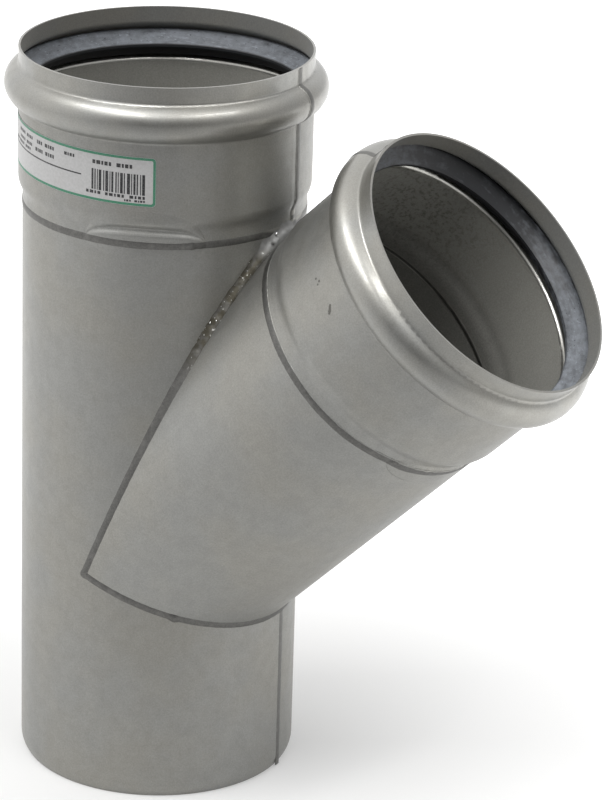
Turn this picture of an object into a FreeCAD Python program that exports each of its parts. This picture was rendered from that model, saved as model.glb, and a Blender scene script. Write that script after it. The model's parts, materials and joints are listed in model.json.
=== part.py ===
"""Lateral wye fitting: a straight thin-walled steel pipe with a branch at 45 degrees.

The run stands on its plain spigot end, along +Z. The branch leaves it towards +X and +Z.
Both upper ends have a push-fit socket with a rolled bead, and a rubber lip seal in the bead.
Both legs are modelled in a leg frame: its origin is where the two axes cross, its Z runs out to the mouth.
Millimetres. The document's origin is the centre of the spigot end.
"""
import FreeCAD, Part
import os

import Sketcher

SIZES = [
    ("tube_diameter", 125.0, "outside diameter of both tubes"),
    ("wall", 1.0, "sheet thickness of tubes and sockets"),
    ("branch_angle", 45.0, "degrees between the two legs"),
    ("spigot_length", 78.9, "spigot end to the lowest point where the tubes meet"),
    ("crotch_clearance", 6.3, "crotch of the tubes to the middle of the ring welds, along a leg"),
    ("tip_length", 5.5, "length over which the spigot's end draws in"),
    ("tip_depth", 1.8, "how far the spigot's end draws in, on the radius"),
    ("socket_length", 69.8, "middle of the ring weld to the mouth"),
    ("socket_gap", 0.9, "radial gap between a spigot and the socket bore"),
    ("neck_length", 4.1, "middle of the ring weld to the shoulder"),
    ("shoulder_bend", 8.7, "bend radius of the shoulder's two arcs, at mid-sheet"),
    ("bead_depth", 16.1, "mouth to the middle of the bead"),
    ("bead_rise", 6.2, "how far the bead stands out of the socket wall"),
    ("bead_round", 8.6, "radius of the bead's section, outside"),
    ("bead_bend", 1.5, "bend radius at both sides of the bead, outside"),
    ("ring_weld_width", 2.0, "width of the ring welds between tube and socket"),
    ("ring_weld_rise", 0.25, "crown of the ring welds"),
    ("saddle_width", 2.6, "width of the weld between the two tubes"),
    ("saddle_rise", 0.4, "how far that weld stands out of the tubes"),
    ("seal_squeeze", 3.4, "how far the seal's lip reaches into a spigot's space, on the radius"),
    ("seal_gap", 0.3, "gap between the seal and the hollow of the bead"),
    ("seal_above", 5.1, "bead's middle to the seal's top edge"),
    ("seal_below", 6.2, "bead's middle to the seal's bottom edge"),
    ("seal_edge", 0.9, "width of the seal's top edge"),
    ("seal_body", 1.4, "thickness of the seal's body at its bottom edge"),
    ("lip_drop", 0.3, "bead's middle down to the tip of the lip"),
    ("lip_tip", 1.1, "thickness of the lip's tip"),
    ("lip_root", 2.4, "bead's middle down to the root of the lip"),
    ("label_length", 130.0, "length of the label around the socket"),
    ("label_height", 20.1, "height of the label"),
    ("label_depth", 31.4, "mouth to the label's upper edge"),
    ("label_thickness", 0.12, "thickness of the label"),
    ("label_glue", 0.05, "thickness of the glue under the label"),
    ("label_corner", 2.0, "corner radius of the label"),
    ("label_end_angle", -61.2, "degrees around the run at which the label ends"),
]

# Radii, and stations along a leg from the crossing of the axes, as expressions of the sheet's cells
TUBE_R = "sizes.tube_diameter / 2"
TUBE_BORE_R = "(sizes.tube_diameter / 2 - sizes.wall)"
SOCKET_R = "(sizes.tube_diameter / 2 + sizes.socket_gap + sizes.wall)"
HALF_ANGLE = "(sizes.branch_angle / 2)"
SPIGOT_REACH = f"(sizes.spigot_length + {TUBE_R} * tan({HALF_ANGLE}))"
WELD_AT = f"({TUBE_R} / tan({HALF_ANGLE}) + sizes.crotch_clearance)"
MOUTH_REACH = f"({WELD_AT} + sizes.socket_length)"
BEAD_AT = f"({MOUTH_REACH} - sizes.bead_depth)"
BEAD_CENTRE_R = f"({SOCKET_R} + sizes.bead_rise - sizes.bead_round)"
SEAL_ROUND = "(sizes.bead_round - sizes.wall - sizes.seal_gap)"


def write_sizes(doc):
    """Makes the spreadsheet that holds every driving dimension."""
    sheet = doc.addObject("Spreadsheet::Sheet", "sizes")
    for row, (alias, value, meaning) in enumerate(SIZES, start=1):
        sheet.set(f"A{row}", alias)
        sheet.set(f"B{row}", str(value))
        sheet.set(f"C{row}", meaning)
        sheet.setAlias(f"B{row}", alias)
    doc.recompute()
    return sheet


def value_of(expression):
    """The number that an expression of the sheet's cells gives."""
    found = SHEET.evalExpression(expression)
    return float(getattr(found, "Value", found))


def plane_of(body, role):
    """One of the body's own origin planes."""
    return next(part for part in body.Origin.OriginFeatures if part.Role == role)


def arc_between(start, end, radius, bulge):
    """Arc from start to end; bulge +1 keeps the centre on the left of the way, -1 on the right.

    Returns the arc and the end of it that lies at start, because a sketch's arcs all run anticlockwise.
    """
    chord = end - start
    half = chord.Length / 2
    left = FreeCAD.Vector(-chord.y, chord.x, 0).normalize()
    centre = (start + end) / 2 + left * (bulge * (max(radius**2 - half**2, 0.0)) ** 0.5)
    circle = Part.Circle(centre, FreeCAD.Vector(0, 0, 1), radius)
    if bulge > 0:
        return Part.ArcOfCircle(circle, circle.parameter(start), circle.parameter(end)), 1
    return Part.ArcOfCircle(circle, circle.parameter(end), circle.parameter(start)), 2


def outline(body, name, corners, arcs=None, role="XZ_Plane"):
    """Closed sketch through corners, each a pair of expressions; arcs gives {side: (radius, bulge)}."""
    arcs = arcs or {}
    sketch = body.newObject("Sketcher::SketchObject", name)
    sketch.AttachmentSupport = [(plane_of(body, role), "")]
    sketch.MapMode = "FlatFace"
    points = [FreeCAD.Vector(value_of(x), value_of(y), 0) for x, y in corners]
    count = len(points)
    ends = []
    for side in range(count):
        start, end = points[side], points[(side + 1) % count]
        if side in arcs:
            radius, bulge = arcs[side]
            curve, first = arc_between(start, end, value_of(radius), bulge)
            sketch.addGeometry(curve, False)
            ends.append((first, 3 - first))
        else:
            sketch.addGeometry(Part.LineSegment(start, end), False)
            ends.append((1, 2))
    for side in range(count):
        follower = (side + 1) % count
        joined = Sketcher.Constraint("Coincident", side, ends[side][1], follower, ends[follower][0])
        sketch.addConstraint(joined)
    for side, (x, y) in enumerate(corners):
        for kind, expression, number in (("DistanceX", x, points[side].x), ("DistanceY", y, points[side].y)):
            at = sketch.addConstraint(Sketcher.Constraint(kind, -1, 1, side, ends[side][0], number))
            sketch.setExpression(f"Constraints[{at}]", expression)
    for side, (radius, bulge) in arcs.items():
        at = sketch.addConstraint(Sketcher.Constraint("Radius", side, value_of(radius)))
        sketch.setExpression(f"Constraints[{at}]", radius)
    return sketch


def revolve(body, sketch, name, angle=None):
    """Revolves the sketch about the body's Z axis, all the way round unless an angle is given."""
    turned = body.newObject("PartDesign::Revolution", name)
    turned.Profile = sketch
    turned.ReferenceAxis = (next(part for part in body.Origin.OriginFeatures if part.Role == "Z_Axis"), [""])
    turned.Angle = 360.0
    if angle:
        turned.setExpression("Angle", angle)
    DOC.recompute()
    return turned


def new_body(name, leg):
    """A body that lies in the frame of the run or of the branch."""
    body = DOC.addObject("PartDesign::Body", name)
    place_in_leg(body, leg)
    return body


def place_in_leg(thing, leg):
    """Puts a piece's frame at the crossing of the axes, turned along its leg."""
    thing.setExpression("Placement.Base.z", SPIGOT_REACH)
    if leg == "branch":
        thing.Placement.Rotation = FreeCAD.Rotation(FreeCAD.Vector(0, 1, 0), value_of("sizes.branch_angle"))
        thing.setExpression("Placement.Rotation.Angle", "sizes.branch_angle")


def make_pipe(leg):
    """A plain length of tube that the saddle cut shapes later; the run's has a drawn-in spigot end."""
    body = new_body(f"{leg}_pipe", leg)
    top = f"({WELD_AT} - sizes.ring_weld_width / 2)"
    bend = "((sizes.tip_length ^ 2 + sizes.tip_depth ^ 2) / (2 * sizes.tip_depth))"
    if leg == "run":
        end = f"-{SPIGOT_REACH}"
        tip = f"({end} + sizes.tip_length)"
        inner_end = f"({TUBE_R} - {bend} + sqrt(({bend} - sizes.wall) ^ 2 - sizes.tip_length ^ 2))"
        corners = [
            (TUBE_R, top),
            (TUBE_BORE_R, top),
            (TUBE_BORE_R, tip),
            (inner_end, end),
            (f"{TUBE_R} - sizes.tip_depth", end),
            (TUBE_R, tip),
        ]
        arcs = {2: (f"{bend} - sizes.wall", -1), 4: (bend, 1)}
    else:
        end = "-sizes.saddle_width"
        corners = [(TUBE_R, top), (TUBE_BORE_R, top), (TUBE_BORE_R, end), (TUBE_R, end)]
        arcs = {}
    revolve(body, outline(body, f"{leg}_pipe_wall", corners, arcs), f"{leg}_pipe_turned")
    return body


def corner_box(name, shift):
    """Square corner between the two planes where the tubes meet, moved into the branch by shift.

    Two tubes of one diameter meet in the two planes that halve the angles between their axes.
    These planes are square to each other, so a turned box holds the branch's side of both.
    """
    box = DOC.addObject("Part::Box", name)
    for side in ("Length", "Width", "Height"):
        box.setExpression(side, f"2 * {MOUTH_REACH}")
    box.Placement.Rotation = FreeCAD.Rotation(FreeCAD.Vector(0, 1, 0), value_of(HALF_ANGLE))
    box.setExpression("Placement.Rotation.Angle", HALF_ANGLE)
    box.setExpression("Placement.Base.x", f"({shift}) * (sin({HALF_ANGLE}) + cos({HALF_ANGLE}))")
    box.setExpression("Placement.Base.y", f"-{MOUTH_REACH}")
    across = f"({shift}) * (cos({HALF_ANGLE}) - sin({HALF_ANGLE}))"
    box.setExpression("Placement.Base.z", f"{SPIGOT_REACH} + {across}")
    return box


def boolean(kind, name, base, tool):
    """Part boolean of two objects."""
    made = DOC.addObject(kind, name)
    made.Base = base
    made.Tool = tool
    return made


def make_weld_pipe(leg):
    """Tube as thick as the weld stands proud, from which the saddle weld is cut."""
    body = new_body(f"{leg}_weld_pipe", leg)
    proud = f"({TUBE_R} + sizes.saddle_rise)"
    bottom = f"-{TUBE_R}" if leg == "run" else "-sizes.saddle_width"
    corners = [(TUBE_BORE_R, bottom), (TUBE_BORE_R, WELD_AT), (proud, WELD_AT), (proud, bottom)]
    revolve(body, outline(body, f"{leg}_weld_wall", corners), f"{leg}_weld_turned")
    return body


def make_tubes_and_saddle():
    """Cuts both tubes back from the planes where they meet, and fills the gap with the weld."""
    meeting = corner_box("meeting_corner", "0")
    run_side = corner_box("run_side_corner", "-sizes.saddle_width / 2")
    branch_side = corner_box("branch_side_corner", "sizes.saddle_width / 2")
    run_tube = boolean("Part::Cut", "run_tube", make_pipe("run"), run_side)
    branch_tube = boolean("Part::Common", "branch_tube", make_pipe("branch"), branch_side)
    run_slice = boolean("Part::Cut", "run_slice", run_side, meeting)
    branch_slice = boolean("Part::Cut", "branch_slice", meeting, branch_side)
    run_half = boolean("Part::Common", "run_half", make_weld_pipe("run"), run_slice)
    branch_half = boolean("Part::Common", "branch_half", make_weld_pipe("branch"), branch_slice)
    saddle = boolean("Part::Fuse", "saddle_weld", run_half, branch_half)
    return [run_tube, branch_tube, saddle]


def make_ring_weld(leg):
    """Crowned butt weld between a tube and its socket."""
    body = new_body(f"{leg}_ring_weld", leg)
    low = f"({WELD_AT} - sizes.ring_weld_width / 2)"
    high = f"({WELD_AT} + sizes.ring_weld_width / 2)"
    crown = "((sizes.ring_weld_width / 2) ^ 2 + sizes.ring_weld_rise ^ 2) / (2 * sizes.ring_weld_rise)"
    corners = [(TUBE_BORE_R, low), (TUBE_R, low), (TUBE_R, high), (TUBE_BORE_R, high)]
    section = outline(body, f"{leg}_ring_weld_section", corners, {1: (crown, 1)})
    revolve(body, section, f"{leg}_ring_weld_turned")
    return body


def socket_side(depth):
    """One side of the socket's sheet from the weld up, at a depth under the outside.

    Bends share their centres on both sides, so the sheet has one thickness all along.
    Returns the corners and the arcs, {side: (radius, bulge)}, as outline takes them.
    """
    tube, socket = f"({TUBE_R} - {depth})", f"({SOCKET_R} - {depth})"
    neck_end = f"({WELD_AT} + sizes.neck_length)"
    step = f"({SOCKET_R} - {TUBE_R})"
    hollow_bend = f"(sizes.shoulder_bend + {depth})"
    round_bend = f"(sizes.shoulder_bend - {depth})"
    rise = f"sqrt(4 * sizes.shoulder_bend * {step} - {step} ^ 2)"
    share = f"({hollow_bend} / (2 * sizes.shoulder_bend))"
    middle_r = f"({TUBE_R} + sizes.shoulder_bend - {share} * (2 * sizes.shoulder_bend - {step}))"
    small, large = f"(sizes.bead_bend + {depth})", f"(sizes.bead_round - {depth})"
    reach = "(sizes.bead_round + sizes.bead_bend)"
    across = f"({SOCKET_R} + sizes.bead_bend - {BEAD_CENTRE_R})"
    along = f"sqrt({reach} ^ 2 - {across} ^ 2)"
    touch_r = f"({BEAD_CENTRE_R} + {across} * {large} / {reach})"
    touch = f"({along} * {large} / {reach})"
    corners = [
        (tube, f"({WELD_AT} + sizes.ring_weld_width / 2)"),
        (tube, neck_end),
        (middle_r, f"({neck_end} + {share} * {rise})"),
        (socket, f"({neck_end} + {rise})"),
        (socket, f"({BEAD_AT} - {along})"),
        (touch_r, f"({BEAD_AT} - {touch})"),
        (touch_r, f"({BEAD_AT} + {touch})"),
        (socket, f"({BEAD_AT} + {along})"),
        (socket, MOUTH_REACH),
    ]
    arcs = {1: (hollow_bend, -1), 2: (round_bend, 1), 4: (small, -1), 5: (large, 1), 6: (small, -1)}
    return corners, arcs


def make_socket(leg):
    """Push-fit socket: neck, shoulder, straight wall, rolled bead and straight lip, all of one sheet."""
    body = new_body(f"{leg}_socket", leg)
    corners, arcs = socket_side("0")
    inside, inside_arcs = socket_side("sizes.wall")
    last = len(corners) + len(inside) - 1
    corners += reversed(inside)
    for side, (radius, bulge) in inside_arcs.items():
        arcs[last - 1 - side] = (radius, -bulge)
    revolve(body, outline(body, f"{leg}_socket_sheet", corners, arcs), f"{leg}_socket_turned")
    return body


def make_seal(leg):
    """Rubber lip seal: a body that lies in the bead's hollow and a lip that leans into the bore."""
    body = new_body(f"{leg}_seal", leg)
    top = f"({BEAD_AT} + sizes.seal_above)"
    bottom = f"({BEAD_AT} - sizes.seal_below)"
    top_r = f"({BEAD_CENTRE_R} + sqrt({SEAL_ROUND} ^ 2 - sizes.seal_above ^ 2))"
    bottom_r = f"({BEAD_CENTRE_R} + sqrt({SEAL_ROUND} ^ 2 - sizes.seal_below ^ 2))"
    tip_r = f"({TUBE_R} - sizes.seal_squeeze)"
    tip = f"({BEAD_AT} - sizes.lip_drop)"
    corners = [
        (f"{top_r} - sizes.seal_edge", top),
        (tip_r, tip),
        (tip_r, f"{tip} - sizes.lip_tip"),
        (f"{bottom_r} - sizes.seal_body", f"({BEAD_AT} - sizes.lip_root)"),
        (f"{bottom_r} - sizes.seal_body", bottom),
        (bottom_r, bottom),
        (top_r, top),
    ]
    section = outline(body, f"{leg}_seal_section", corners, {5: (SEAL_ROUND, 1)})
    revolve(body, section, f"{leg}_seal_turned")
    return body


def make_label():
    """Thin label wrapped part of the way round the run's socket."""
    body = new_body("label", "run")
    low = f"({MOUTH_REACH} - sizes.label_depth - sizes.label_height)"
    high = f"({MOUTH_REACH} - sizes.label_depth)"
    inner = f"({SOCKET_R} + sizes.label_glue)"
    outer = f"({inner} + sizes.label_thickness)"
    corners = [(inner, low), (outer, low), (outer, high), (inner, high)]
    sweep = f"(sizes.label_length / {SOCKET_R} * 180 / pi)"
    sheet = revolve(body, outline(body, "label_section", corners), "label_turned", sweep)
    begin = f"sizes.label_end_angle - {sweep}"
    body.Placement.Rotation = FreeCAD.Rotation(FreeCAD.Vector(0, 0, 1), value_of(begin))
    body.setExpression("Placement.Rotation.Angle", begin)
    short_edges = []
    for number, edge in enumerate(sheet.Shape.Edges, start=1):
        if edge.Length < 2 * value_of("sizes.label_thickness"):
            short_edges.append(f"Edge{number}")
    rounded = body.newObject("PartDesign::Fillet", "label_corners")
    rounded.Base = (sheet, short_edges)
    rounded.setExpression("Radius", "sizes.label_corner")
    return body


def check(pieces):
    """Stops if an object failed or a piece has no single valid solid."""
    for thing in DOC.Objects:
        if "Invalid" in thing.State or "Error" in thing.State:
            raise RuntimeError(f"{thing.Name} failed: {thing.State}")
    for name, piece in pieces.items():
        shape = piece.Shape
        if shape.isNull() or not shape.isValid() or len(shape.Solids) != 1:
            raise RuntimeError(f"{name} isn't one valid solid")


DOC = FreeCAD.newDocument("LateralWye")
SHEET = write_sizes(DOC)
run_tube, branch_tube, saddle_weld = make_tubes_and_saddle()
PIECES = {
    "run_tube": run_tube,
    "branch_tube": branch_tube,
    "saddle_weld": saddle_weld,
    "run_ring_weld": make_ring_weld("run"),
    "branch_ring_weld": make_ring_weld("branch"),
    "run_socket": make_socket("run"),
    "branch_socket": make_socket("branch"),
    "run_seal": make_seal("run"),
    "branch_seal": make_seal("branch"),
    "label": make_label(),
}
for label, piece in PIECES.items():
    piece.Label = label
DOC.recompute()
check(PIECES)
os.makedirs("parts", exist_ok=True)
for label, piece in PIECES.items():
    piece.Shape.exportStep(f"parts/{label}.step")
    print(label, "volume", round(piece.Shape.Volume, 1), "mm3")
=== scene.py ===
"""Looks of the lateral wye fitting: matt pickled steel, welds, seams, dusty seals and a printed label.

Every place is in metres in the row frame. Most pieces are laid out in a leg frame: its origin is where the
two axes cross and its Z runs out to the mouth. Angles there are in degrees from the leg's own X axis, which
points towards the branch on the run, and to the underside on the branch.
"""

import json
import math

import bmesh
import bpy
import numpy as np
from mathutils import Matrix, Vector, noise
from mathutils.bvhtree import BVHTree


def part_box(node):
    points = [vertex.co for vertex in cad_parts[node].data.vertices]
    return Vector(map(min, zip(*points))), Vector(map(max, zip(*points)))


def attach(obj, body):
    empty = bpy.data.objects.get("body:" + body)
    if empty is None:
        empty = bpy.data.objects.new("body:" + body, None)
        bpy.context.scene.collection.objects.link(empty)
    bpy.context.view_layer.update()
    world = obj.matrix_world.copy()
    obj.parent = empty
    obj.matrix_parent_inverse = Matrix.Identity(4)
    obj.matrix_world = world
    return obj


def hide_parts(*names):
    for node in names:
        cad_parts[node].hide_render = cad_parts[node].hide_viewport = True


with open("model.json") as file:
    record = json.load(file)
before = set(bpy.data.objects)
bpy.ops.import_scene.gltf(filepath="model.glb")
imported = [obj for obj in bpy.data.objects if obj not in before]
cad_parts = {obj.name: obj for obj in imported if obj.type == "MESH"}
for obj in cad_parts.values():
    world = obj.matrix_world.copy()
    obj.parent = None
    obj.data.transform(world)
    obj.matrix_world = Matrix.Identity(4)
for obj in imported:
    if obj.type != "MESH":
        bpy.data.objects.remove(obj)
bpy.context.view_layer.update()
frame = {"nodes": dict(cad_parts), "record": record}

MM = 0.001

# The frame's own sizes
MOUNTS = {mount["name"]: mount for mount in frame["record"]["mounts"]}
BRANCH_MOUTH = Vector(MOUNTS["branch_mouth"]["pos_m"])
BRANCH_AXIS = Vector(MOUNTS["branch_mouth"]["axis"])
CROSSING = BRANCH_MOUTH - BRANCH_AXIS * (BRANCH_MOUTH.x / BRANCH_AXIS.x)
MOUTH_REACH = (BRANCH_MOUTH - CROSSING).length
BRANCH_ANGLE = math.acos(BRANCH_AXIS.z)
TUBE_R = MOUNTS["run_spigot"]["dims"]["r_mm"] * MM
SOCKET_BORE_R = MOUNTS["run_mouth"]["dims"]["r_mm"] * MM
WALL = 1.0 * MM
SOCKET_R = SOCKET_BORE_R + WALL
ring_low, ring_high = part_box("run_ring_weld")
RING_WELD_AT = (ring_low.z + ring_high.z) / 2 - CROSSING.z
LEGS = {
    "run": Matrix.Translation(CROSSING),
    "branch": Matrix.Translation(CROSSING) @ Matrix.Rotation(BRANCH_ANGLE, 4, "Y"),
}

# The photograph's camera
CAMERA_LENS = 171.05
CAMERA_SENSOR = 36.0
CAMERA_AZIMUTH = 29.87
CAMERA_ELEVATION = 21.30
CAMERA_ROLL = 1.743
CAMERA_DISTANCE = 1.6643
CAMERA_TARGET = Vector((0.07349, 0.0, 0.18345))


def around(azimuth, elevation):
    """Unit vector from the object towards a viewer; azimuth 0 stands at -Y and 90 at +X."""
    turn, rise = math.radians(azimuth), math.radians(elevation)
    return Vector((math.sin(turn) * math.cos(rise), -math.cos(turn) * math.cos(rise), math.sin(rise)))


def make_camera():
    """The photograph's camera, fitted to the edges of the tubes."""
    data = bpy.data.cameras.new("camera")
    data.lens = CAMERA_LENS
    data.sensor_width = CAMERA_SENSOR
    data.sensor_fit = "AUTO"
    data.clip_start = 0.05
    data.clip_end = 50.0
    camera = bpy.data.objects.new("camera", data)
    back = around(CAMERA_AZIMUTH, CAMERA_ELEVATION)
    camera.location = CAMERA_TARGET + back * CAMERA_DISTANCE
    level = (-back).to_track_quat("-Z", "Y")
    camera.rotation_mode = "QUATERNION"
    camera.rotation_quaternion = level @ Matrix.Rotation(math.radians(CAMERA_ROLL), 3, "Z").to_quaternion()
    bpy.context.scene.collection.objects.link(camera)
    bpy.context.scene.camera = camera


# Shader helpers
def is_output(value):
    """Whether a value is the output of a node, not a number or colour."""
    return isinstance(value, bpy.types.NodeSocket)


def feed(node, inputs):
    """Gives each socket that inputs names a value, or the output that feeds it."""
    for name, value in inputs.items():
        if is_output(value):
            node.id_data.links.new(value, node.inputs[name])
        else:
            node.inputs[name].default_value = value


def source(tree, kind):
    """Adds a node that nothing feeds yet."""
    return tree.nodes.new("ShaderNode" + kind)


def add(kind, inputs, **settings):
    """Adds a node beside the outputs that feed it."""
    tree = next(value.id_data for value in inputs.values() if is_output(value))
    node = source(tree, kind)
    for name, value in settings.items():
        setattr(node, name, value)
    feed(node, inputs)
    return node


def calc(operation, *values):
    """Output of a Math node."""
    return add("Math", dict(enumerate(values)), operation=operation).outputs[0]


def vector_calc(operation, *values):
    """Output of a Vector Math node: a number for products and lengths, a vector otherwise."""
    node = add("VectorMath", dict(enumerate(values)), operation=operation)
    return node.outputs["Value" if operation in ("DOT_PRODUCT", "DISTANCE", "LENGTH") else "Vector"]


def noise_at(vector, scale, detail=3.0, roughness=0.55):
    """Noise from 0 to 1 at a scale in cycles per metre."""
    node = add("TexNoise", {"Vector": vector, "Scale": scale, "Detail": detail, "Roughness": roughness})
    return node.outputs["Fac"]


def between(value, low, high, to_low=0.0, to_high=1.0, smooth=True):
    """Maps value from low..high to to_low..to_high, held at both ends."""
    kind = "SMOOTHSTEP" if smooth else "LINEAR"
    inputs = {"Value": value, "From Min": low, "From Max": high, "To Min": to_low, "To Max": to_high}
    return add("MapRange", inputs, interpolation_type=kind, clamp=True).outputs["Result"]


# Places of the colour mix node's sockets: share and the two colours, and the result
MIX_SOCKETS = (0, 6, 7)
MIX_RESULT = 2


def mix(share, first, second, blend="MIX"):
    """Mix of two colours."""
    colours = [value if is_output(value) else (*value, 1.0) for value in (first, second)]
    node = add("Mix", dict(zip(MIX_SOCKETS, (share, *colours))), data_type="RGBA", blend_type=blend)
    return node.outputs[MIX_RESULT]


def two_tone(value, low, high, first, second):
    """First colour below low, second above high, with a soft change between."""
    return mix(between(value, low, high), first, second)


def new_material(name):
    """A node material with its tree and its Principled shader."""
    material = bpy.data.materials.new(name)
    material.use_nodes = True
    tree = material.node_tree
    return material, tree, tree.nodes["Principled BSDF"]


def bare_tree(owner, kind):
    """Node tree of a world or material with nothing in it but its output, and that output."""
    owner.use_nodes = True
    owner.node_tree.nodes.clear()
    return owner.node_tree, source(owner.node_tree, kind)


def row_place(tree):
    """Surface point in the row frame."""
    return source(tree, "TexCoord").outputs["Object"]


def into_leg(leg, vector, origin=(0.0, 0.0, 0.0)):
    """A vector turned into a leg's frame, measured from origin."""
    turn = (0.0, BRANCH_ANGLE if leg == "branch" else 0.0, 0.0)
    inputs = {"Vector": vector, "Location": origin, "Rotation": turn}
    return add("Mapping", inputs, vector_type="TEXTURE").outputs["Vector"]


def place_of(tree, leg):
    """Surface point in a leg's frame."""
    return into_leg(leg, row_place(tree), CROSSING)


def height_of(vector):
    """The vector's Z, which is the place along the leg for a point in a leg's frame."""
    return add("SeparateXYZ", {"Vector": vector}).outputs["Z"]


def stretched(vector, scale):
    """The vector with each axis scaled, for grain that runs one way."""
    return add("Mapping", {"Vector": vector, "Scale": scale}).outputs["Vector"]


def faces_axis(tree, leg, spot):
    """1 where the surface looks towards the leg's axis, so inside the pipe, and 0 outside."""
    facing = into_leg(leg, source(tree, "TexCoord").outputs["Normal"])
    away = vector_calc("NORMALIZE", vector_calc("MULTIPLY", spot, (1.0, 1.0, 0.0)))
    return between(vector_calc("DOT_PRODUCT", facing, away), 0.02, -0.12)


def patch_at(spot, middle, size):
    """Soft mask round one place, 1 in its middle."""
    return between(vector_calc("DISTANCE", spot, middle), size, 0.0)


def in_leg(angle, radius, along):
    """Place in a leg's own frame."""
    turn = math.radians(angle)
    return (radius * math.cos(turn), radius * math.sin(turn), along)


# Steel: colours, how far speckle, mottle, streaks and clouds lighten and darken it, and painted shades
STEEL_WARM = (0.318, 0.311, 0.286)
STEEL_COOL = (0.304, 0.304, 0.291)
# Paler colour inside the pipes: painted light, for light that comes in at the mouth
STEEL_INSIDE_PAINTED_LIGHT = (0.45, 0.445, 0.415)
STAIN = (0.10, 0.095, 0.085)
BRANCH_PALER = 1.07
GRAIN_DEPTHS = (0.55, 0.07, 0.05, 0.05)
# Painted shades: inside near the shoulder, below the ring weld under the run's swelling, and in a patch
# inside the branch
SHOULDER_PAINTED_SHADE = -0.30
LAP_PAINTED_SHADE = -0.2
LAP_SHADE_AT = (-60.0, TUBE_R, RING_WELD_AT - 2.0 * MM)
LAP_SHADE_SIZE = 32.0 * MM
BRANCH_INSIDE_PAINTED_SHADE = -0.45
BRANCH_SHADE_AT = (-25.0, SOCKET_BORE_R, 0.1900)
BRANCH_SHADE_SIZE = 95.0 * MM

# How dull the sheet is. The drawn part, bead and lip, is smoother and has more gloss
ROUGHNESS_OUTSIDE = (0.58, 0.52)
ROUGHNESS_INSIDE = 0.9
ROUGHNESS_BRIGHT_EDGE = 0.3
DRAWN_SMOOTHER = -0.14
COAT_WEIGHT = 0.32
COAT_ROUGHNESS = 0.26
DRAWN_COAT = 0.10

# Depths below the mouth
SEAL_TOP_DEPTH = 14.0 * MM
SEAL_FOOT_DEPTH = 22.0 * MM
BEAD_SIDE_DEPTH = 18.0 * MM
BEAD_FOOT_DEPTH = 23.0 * MM
BRIGHT_EDGE_DEPTH = 24.0 * MM


def with_painted_shade(leg, spot, along, inside, tone):
    """The tone with painted shade inside near the shoulder, and with painted shade under the run's swelling
    or in a patch inside the branch.
    """
    # Painted shade inside, near the shoulder, that dims its highlight
    near_shoulder = between(along, RING_WELD_AT + 17 * MM, RING_WELD_AT + 8 * MM)
    tone = calc("MULTIPLY_ADD", calc("MULTIPLY", inside, near_shoulder), SHOULDER_PAINTED_SHADE, tone)
    if leg == "run":
        # Painted shade below the ring weld, under the run's swelling
        below_weld = between(along, RING_WELD_AT + 0.5 * MM, RING_WELD_AT - 0.5 * MM)
        near_weld = between(along, RING_WELD_AT - 9.0 * MM, RING_WELD_AT - 1.0 * MM)
        lap_shade = patch_at(spot, in_leg(*LAP_SHADE_AT), LAP_SHADE_SIZE)
        lap_shade = calc("MULTIPLY", lap_shade, calc("MULTIPLY", below_weld, near_weld))
        return calc("MULTIPLY_ADD", lap_shade, LAP_PAINTED_SHADE, tone)
    # Painted shade in a large patch inside the branch
    blotch = calc("MULTIPLY", inside, patch_at(spot, in_leg(*BRANCH_SHADE_AT), BRANCH_SHADE_SIZE))
    return calc("MULTIPLY_ADD", blotch, BRANCH_INSIDE_PAINTED_SHADE, calc("MULTIPLY", tone, BRANCH_PALER))


def steel_material(name, leg):
    """Pickled sheet: matt warm grey with cooler mottle and fine speckle; duller inside, and paler there
    below the seal, which is painted light.
    """
    material, tree, shader = new_material(name)
    spot = place_of(tree, leg)
    along = height_of(spot)
    inside = faces_axis(tree, leg, spot)
    speckle = noise_at(spot, 1500.0, 3.0, 0.7)
    mottle = noise_at(spot, 160.0, 4.0, 0.6)
    clouds = noise_at(spot, 22.0, 3.0)
    streaks = noise_at(stretched(spot, (1.0, 1.0, 0.03)), 420.0, 2.0)

    colour = two_tone(clouds, 0.35, 0.65, STEEL_WARM, STEEL_COOL)
    # Paler inside below the seal: painted light, for light that comes in at the mouth
    below_seal = between(along, MOUTH_REACH - SEAL_TOP_DEPTH, MOUTH_REACH - SEAL_FOOT_DEPTH)
    colour = mix(calc("MULTIPLY", inside, below_seal), colour, STEEL_INSIDE_PAINTED_LIGHT)
    tone = 1.0
    for grain, depth in zip((speckle, mottle, streaks, clouds), GRAIN_DEPTHS):
        tone = calc("MULTIPLY_ADD", calc("SUBTRACT", grain, 0.5), depth, tone)
    tone = with_painted_shade(leg, spot, along, inside, tone)
    toned = add("CombineColor", {0: tone, 1: tone, 2: tone}).outputs[0]
    colour = mix(1.0, colour, toned, "MULTIPLY")
    colour = mix(stain_mask(leg, spot, inside), colour, STAIN)

    drawn = between(along, MOUTH_REACH - BEAD_FOOT_DEPTH, MOUTH_REACH - BEAD_SIDE_DEPTH)
    outer = between(mottle, 0.35, 0.65, *ROUGHNESS_OUTSIDE)
    outer = calc("MULTIPLY_ADD", drawn, DRAWN_SMOOTHER, outer)
    edge = calc("ABSOLUTE", calc("SUBTRACT", along, MOUTH_REACH - BRIGHT_EDGE_DEPTH))
    inner = between(edge, 0.8 * MM, 1.8 * MM, ROUGHNESS_BRIGHT_EDGE, ROUGHNESS_INSIDE)
    height = calc("MULTIPLY_ADD", streaks, 0.3, speckle)
    bump = add("Bump", {"Height": height, "Strength": 0.10, "Distance": 0.2 * MM})
    feed(shader, {
        "Base Color": colour,
        "Metallic": 1.0,
        "Roughness": between(inside, 0.0, 1.0, outer, inner, smooth=False),
        "Coat Weight": calc("MULTIPLY_ADD", drawn, DRAWN_COAT, COAT_WEIGHT),
        "Coat Roughness": calc("MULTIPLY_ADD", drawn, -DRAWN_COAT, COAT_ROUGHNESS),
        "Normal": bump.outputs["Normal"],
    })
    return material


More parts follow.
